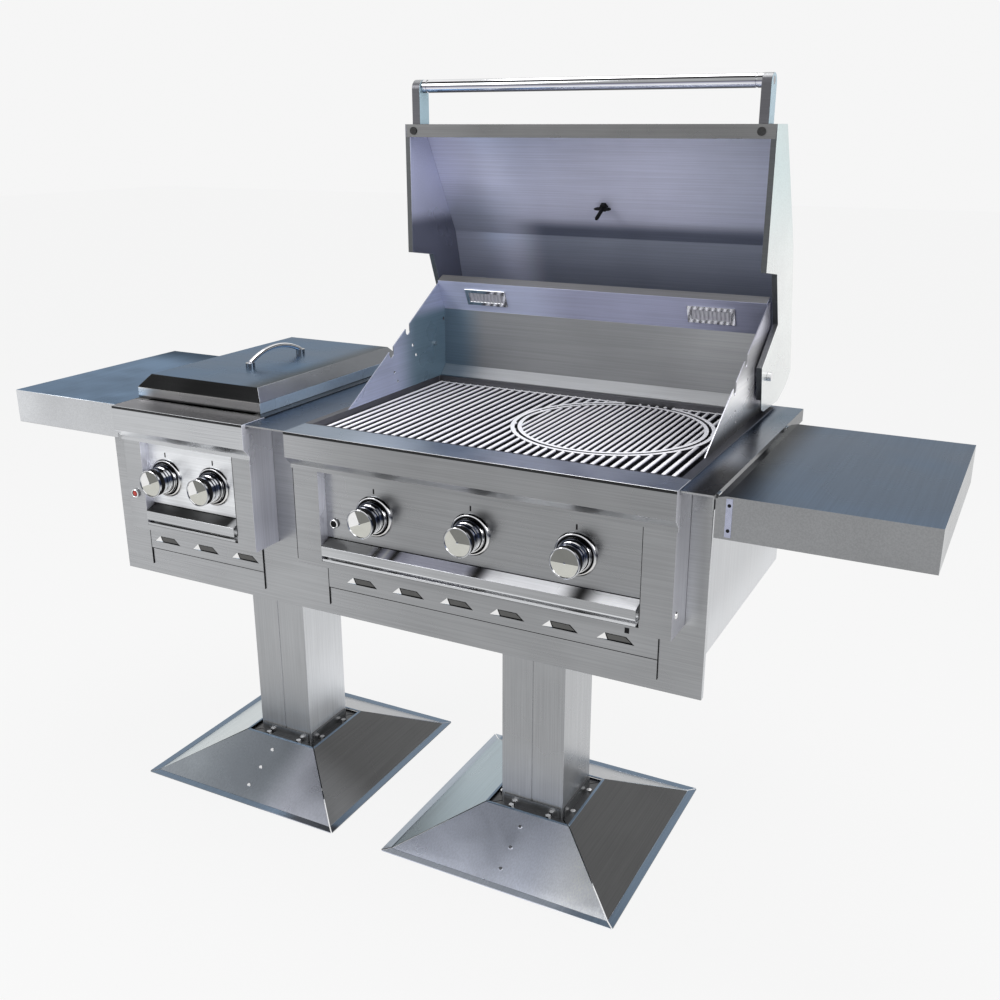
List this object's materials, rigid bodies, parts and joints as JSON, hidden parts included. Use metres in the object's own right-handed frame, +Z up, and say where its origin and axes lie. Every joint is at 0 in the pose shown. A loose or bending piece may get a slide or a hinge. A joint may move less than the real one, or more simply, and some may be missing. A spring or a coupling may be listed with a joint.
{
  "type": "pedestal gas grill station",
  "caption": "Stainless steel gas grill station on two square pedestals, with an open tilting hood, a lidded side burner, knobs, drip trays and work shelves, one of them folding.",
  "frame": {"origin": "centre of the bounding box in plan, at ground level under the two bases", "axes": "+X to the right as the cook faces the knobs, +Y away from the cook, +Z up"},
  "size_m": [1.87, 0.737, 1.5309],
  "materials": {
    "sheet_steel": "brushed stainless sheet",
    "inner_steel": "heat-dulled stainless sheet",
    "bright_steel": "polished",
    "cast_iron": "enamelled black",
    "brass": "machined",
    "rubber": "moulded",
    "lens": "frosted",
    "button_black": "gloss",
    "button_red": "gloss"
  },
  "bodies": {
    "station": {"left_post": "sheet_steel", "right_post": "sheet_steel", "base_plates": "inner_steel", "left_base_skirts": "sheet_steel", "right_base_skirts": "sheet_steel", "post_foot_brackets": "sheet_steel", "foot_bolts": "bright_steel", "skirt_screws": "bright_steel", "post_caps": "sheet_steel", "cabinet_floor": "inner_steel", "front_panel": "sheet_steel", "left_side_wall": "sheet_steel", "right_side_wall": "sheet_steel", "back_panel": "sheet_steel", "deck": "sheet_steel", "vent_strips": "sheet_steel", "left_shelf": "sheet_steel", "shelf_hinge_brackets": "sheet_steel", "grill_fascia": "sheet_steel", "grill_frame": "sheet_steel", "grill_control_panel": "sheet_steel", "firebox": "inner_steel", "firebox_left_panel": "inner_steel", "firebox_right_panel": "inner_steel", "rear_wall": "inner_steel", "light_bar": "inner_steel", "lamp_lenses": "lens", "cooking_grates": "bright_steel", "flame_tamers": "inner_steel", "burners": "inner_steel", "gas_manifold": "brass", "gas_valves": "brass", "knob_bezels": "bright_steel", "hood_hinge_pins": "bright_steel", "side_fascia": "sheet_steel", "side_frame": "sheet_steel", "side_control_panel": "sheet_steel", "side_burner_tub": "inner_steel", "side_burner": "cast_iron", "pan_support": "cast_iron"},
    "hood": {"hood_skin": "sheet_steel", "hood_left_side": "sheet_steel", "hood_right_side": "sheet_steel", "hood_handle": "bright_steel", "handle_brackets": "sheet_steel", "hood_bumpers": "rubber", "thermometer": "bright_steel"},
    "folding_shelf": {"right_shelf": "sheet_steel"},
    "grill_tray": {"grill_drip_tray": "sheet_steel"},
    "side_tray": {"side_drip_tray": "sheet_steel"},
    "insert": {"round_grate": "bright_steel"},
    "knob_1": {"grill_knob_left": "bright_steel"},
    "knob_2": {"grill_knob_middle": "bright_steel"},
    "knob_3": {"grill_knob_right": "bright_steel"},
    "knob_4": {"side_knob_left": "bright_steel"},
    "knob_5": {"side_knob_right": "bright_steel"},
    "grill_button": {"grill_igniter": "button_black"},
    "side_button": {"side_igniter": "button_red"},
    "lid": {"side_lid": "sheet_steel", "side_lid_handle": "bright_steel"}
  },
  "joints": [
    {"name": "hood_hinge", "type": "hinge", "parent": "station", "child": "hood", "pos_m": [0.167, 0.1705, 0.985], "axis": [1, 0, 0], "range_deg": [0, 90]},
    {"name": "shelf_hinge", "type": "hinge", "parent": "station", "child": "folding_shelf", "pos_m": [0.613, -0.1085, 0.85], "axis": [0, 1, 0], "range_deg": [0, 90]},
    {"name": "grill_tray_slide", "type": "slide", "parent": "station", "child": "grill_tray", "axis": [0, -1, 0], "range_m": [0, 0.4]},
    {"name": "side_tray_slide", "type": "slide", "parent": "station", "child": "side_tray", "axis": [0, -1, 0], "range_m": [0, 0.4]},
    {"name": "insert_lift", "type": "slide", "parent": "station", "child": "insert", "axis": [0, 0, 1], "range_m": [0, 0.1]},
    {"name": "knob_1_turn", "type": "hinge", "parent": "station", "child": "knob_1", "pos_m": [-0.0445, -0.35, 0.756], "axis": [0, -1, 0], "range_deg": [0, 225]},
    {"name": "knob_2_turn", "type": "hinge", "parent": "station", "child": "knob_2", "pos_m": [0.1595, -0.35, 0.756], "axis": [0, -1, 0], "range_deg": [0, 225]},
    {"name": "knob_3_turn", "type": "hinge", "parent": "station", "child": "knob_3", "pos_m": [0.3635, -0.35, 0.756], "axis": [0, -1, 0], "range_deg": [0, 225]},
    {"name": "knob_4_turn", "type": "hinge", "parent": "station", "child": "knob_4", "pos_m": [-0.5535, -0.35, 0.757], "axis": [0, -1, 0], "range_deg": [0, 225]},
    {"name": "knob_5_turn", "type": "hinge", "parent": "station", "child": "knob_5", "pos_m": [-0.4285, -0.35, 0.757], "axis": [0, -1, 0], "range_deg": [0, 225]},
    {"name": "grill_button_push", "type": "slide", "parent": "station", "child": "grill_button", "axis": [0, 1, 0], "range_m": [0, 0.003], "stiffness_N_per_m": 400, "springref_m": -0.001},
    {"name": "side_button_push", "type": "slide", "parent": "station", "child": "side_button", "axis": [0, 1, 0], "range_m": [0, 0.003], "stiffness_N_per_m": 400, "springref_m": -0.001},
    {"name": "lid_lift", "type": "slide", "parent": "station", "child": "lid", "axis": [0, 0, 1], "range_m": [0, 0.12]}
  ]
}
